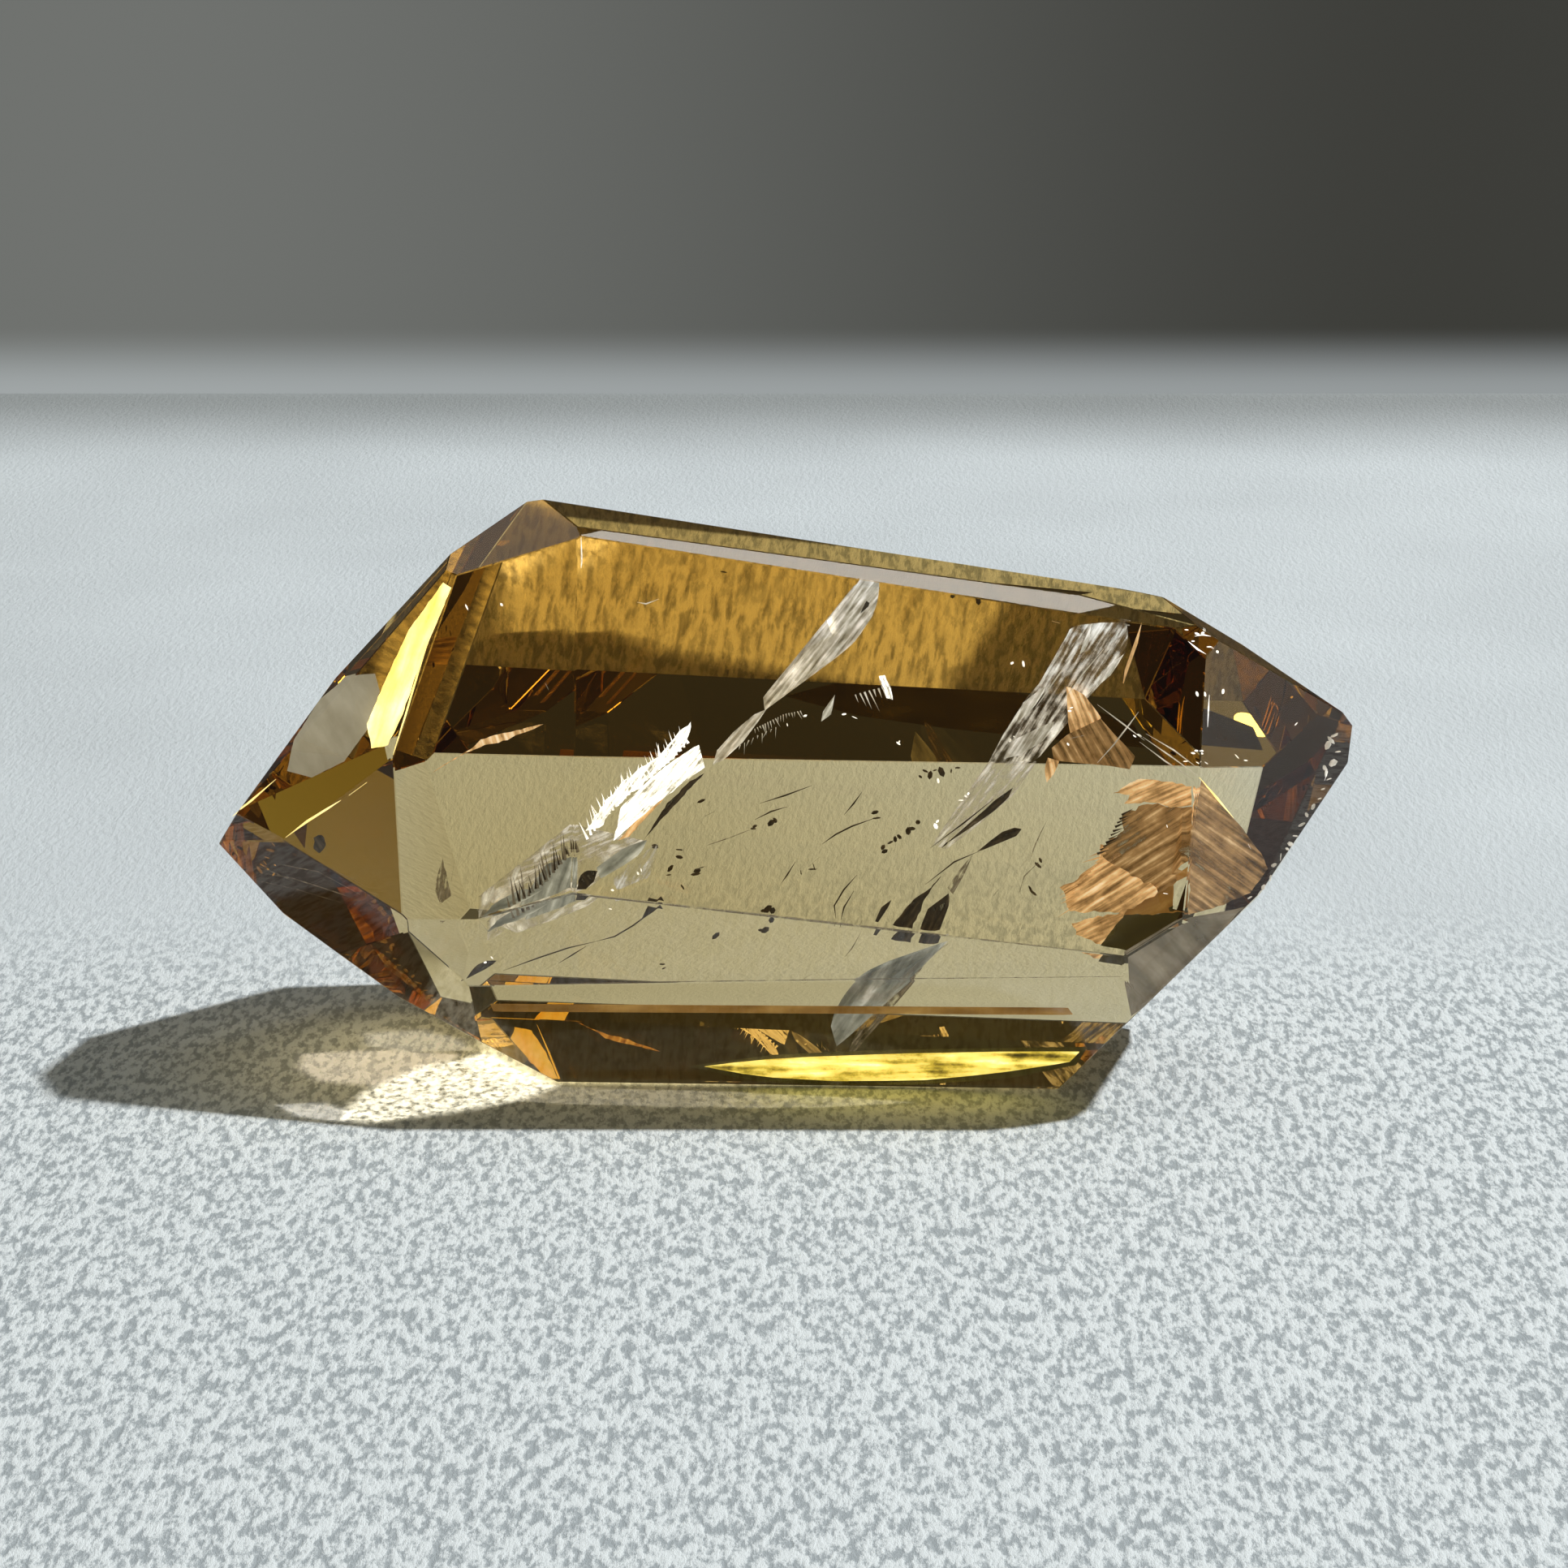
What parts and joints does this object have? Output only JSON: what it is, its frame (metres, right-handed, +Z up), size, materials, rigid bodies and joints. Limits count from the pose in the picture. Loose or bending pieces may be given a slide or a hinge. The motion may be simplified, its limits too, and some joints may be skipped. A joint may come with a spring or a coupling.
{
  "type": "citrine freeform",
  "caption": "Polished natural citrine freeform, elongated and pointed at both ends, cut all round with flat facets, lying on its base facet.",
  "frame": {"origin": "on the resting plane, under the middle of the stone", "axes": "+Z up from the resting facet, +X along the stone towards its lower, rough-skinned point, -Y towards the large front facets"},
  "size_m": [0.0494, 0.0172, 0.0263],
  "materials": {
    "citrine": "clear honey-brown quartz, polished facets"
  },
  "bodies": {
    "root": {"citrine_freeform": "citrine"}
  },
  "joints": []
}
